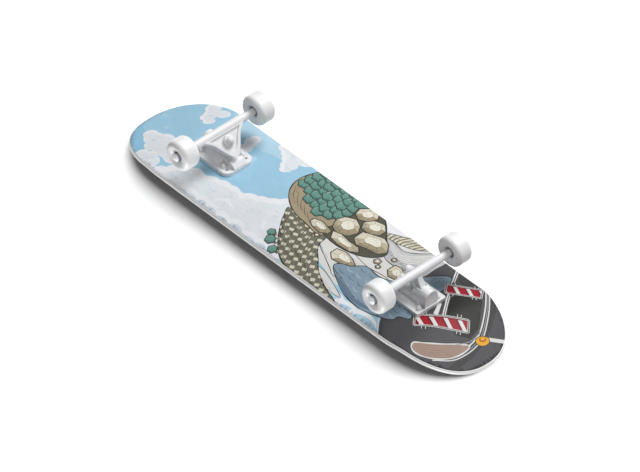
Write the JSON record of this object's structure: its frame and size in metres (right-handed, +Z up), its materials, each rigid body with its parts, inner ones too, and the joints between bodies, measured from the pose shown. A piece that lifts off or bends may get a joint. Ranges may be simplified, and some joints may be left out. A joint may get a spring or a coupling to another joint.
{
  "type": "skateboard",
  "caption": "Street skateboard with a kicked, cupped popsicle deck, printed underside, grip tape, white kingpin trucks that lean to steer, and ball-bearing wheels.",
  "frame": {"origin": "on the ground under the middle of the board, wheels down", "axes": "+X to the nose, +Y to the rider's left, +Z up through the grip tape"},
  "size_m": [0.8046, 0.204, 0.1214],
  "materials": {
    "deck_wood": "maple plies, edge painted white",
    "print": "heat-transfer printed film",
    "grip": "abrasive grit",
    "truck_white": "white powder coat over cast alloy",
    "white_hardware": "white coated steel",
    "bare_steel": "zinc plated",
    "bearing_steel": "ground and polished",
    "seal": "matt",
    "cage": "moulded nylon",
    "pivot_cup": "moulded urethane",
    "bushing": "cast urethane",
    "urethane": "cast urethane, satin"
  },
  "bodies": {
    "board": {"deck": "deck_wood", "graphic_film": "print", "grip_tape": "grip", "deck_bolts_front": "white_hardware", "deck_nuts_front": "white_hardware", "baseplate_front": "truck_white", "pivot_cup_front": "pivot_cup", "kingpin_front": "white_hardware", "kingpin_nut_front": "white_hardware", "lower_bushing_front": "bushing", "upper_bushing_front": "bushing", "lower_washer_front": "white_hardware", "upper_washer_front": "white_hardware", "deck_bolts_rear": "white_hardware", "deck_nuts_rear": "white_hardware", "baseplate_rear": "truck_white", "pivot_cup_rear": "pivot_cup", "kingpin_rear": "white_hardware", "kingpin_nut_rear": "white_hardware", "lower_bushing_rear": "bushing", "upper_bushing_rear": "bushing", "lower_washer_rear": "white_hardware", "upper_washer_rear": "white_hardware"},
    "truck_front": {"hanger_front": "truck_white", "axle_front": "bare_steel", "axle_nuts_front": "bare_steel", "speed_washers_front": "bare_steel", "inner_races_front": "bearing_steel", "bearing_spacers_front": "bare_steel"},
    "truck_rear": {"hanger_rear": "truck_white", "axle_rear": "bare_steel", "axle_nuts_rear": "bare_steel", "speed_washers_rear": "bare_steel", "inner_races_rear": "bearing_steel", "bearing_spacers_rear": "bare_steel"},
    "wheel_body_front_left": {"wheel_front_left": "urethane", "outer_races_front_left": "bearing_steel", "shields_front_left": "seal"},
    "cage_body_front_left": {"ball_cages_front_left": "cage", "balls_front_left": "bearing_steel"},
    "wheel_body_front_right": {"wheel_front_right": "urethane", "outer_races_front_right": "bearing_steel", "shields_front_right": "seal"},
    "cage_body_front_right": {"ball_cages_front_right": "cage", "balls_front_right": "bearing_steel"},
    "wheel_body_rear_left": {"wheel_rear_left": "urethane", "outer_races_rear_left": "bearing_steel", "shields_rear_left": "seal"},
    "cage_body_rear_left": {"ball_cages_rear_left": "cage", "balls_rear_left": "bearing_steel"},
    "wheel_body_rear_right": {"wheel_rear_right": "urethane", "outer_races_rear_right": "bearing_steel", "shields_rear_right": "seal"},
    "cage_body_rear_right": {"ball_cages_rear_right": "cage", "balls_rear_right": "bearing_steel"}
  },
  "joints": [
    {"name": "steer_front", "type": "hinge", "parent": "board", "child": "truck_front", "pos_m": [0.21205, 0, 0.04215], "axis": [0.9033, 0, 0.4289], "range_deg": [-15, 15], "stiffness_Nm_per_rad": 40, "deforming": ["lower_bushing_front", "upper_bushing_front"]},
    {"name": "steer_rear", "type": "hinge", "parent": "board", "child": "truck_rear", "pos_m": [-0.22455, 0, 0.04215], "axis": [0.9033, 0, -0.4289], "range_deg": [-15, 15], "stiffness_Nm_per_rad": 40, "deforming": ["lower_bushing_rear", "upper_bushing_rear"]},
    {"name": "spin_front_left", "type": "hinge", "parent": "truck_front", "child": "wheel_body_front_left", "pos_m": [0.225, 0.082, 0.027], "axis": [0, 1, 0], "continuous": true},
    {"name": "spin_front_right", "type": "hinge", "parent": "truck_front", "child": "wheel_body_front_right", "pos_m": [0.225, -0.082, 0.027], "axis": [0, 1, 0], "continuous": true},
    {"name": "spin_rear_left", "type": "hinge", "parent": "truck_rear", "child": "wheel_body_rear_left", "pos_m": [-0.2375, 0.082, 0.027], "axis": [0, 1, 0], "continuous": true},
    {"name": "spin_rear_right", "type": "hinge", "parent": "truck_rear", "child": "wheel_body_rear_right", "pos_m": [-0.2375, -0.082, 0.027], "axis": [0, 1, 0], "continuous": true},
    {"name": "cage_spin_front_left", "type": "hinge", "parent": "truck_front", "child": "cage_body_front_left", "pos_m": [0.225, 0.082, 0.027], "axis": [0, 1, 0], "continuous": true},
    {"name": "cage_spin_front_right", "type": "hinge", "parent": "truck_front", "child": "cage_body_front_right", "pos_m": [0.225, -0.082, 0.027], "axis": [0, 1, 0], "continuous": true},
    {"name": "cage_spin_rear_left", "type": "hinge", "parent": "truck_rear", "child": "cage_body_rear_left", "pos_m": [-0.2375, 0.082, 0.027], "axis": [0, 1, 0], "continuous": true},
    {"name": "cage_spin_rear_right", "type": "hinge", "parent": "truck_rear", "child": "cage_body_rear_right", "pos_m": [-0.2375, -0.082, 0.027], "axis": [0, 1, 0], "continuous": true}
  ],
  "couplings": [
    {"joint": "cage_spin_front_left", "follows": "spin_front_left", "ratio": 0.6323},
    {"joint": "cage_spin_front_right", "follows": "spin_front_right", "ratio": 0.6323},
    {"joint": "cage_spin_rear_left", "follows": "spin_rear_left", "ratio": 0.6323},
    {"joint": "cage_spin_rear_right", "follows": "spin_rear_right", "ratio": 0.6323}
  ]
}
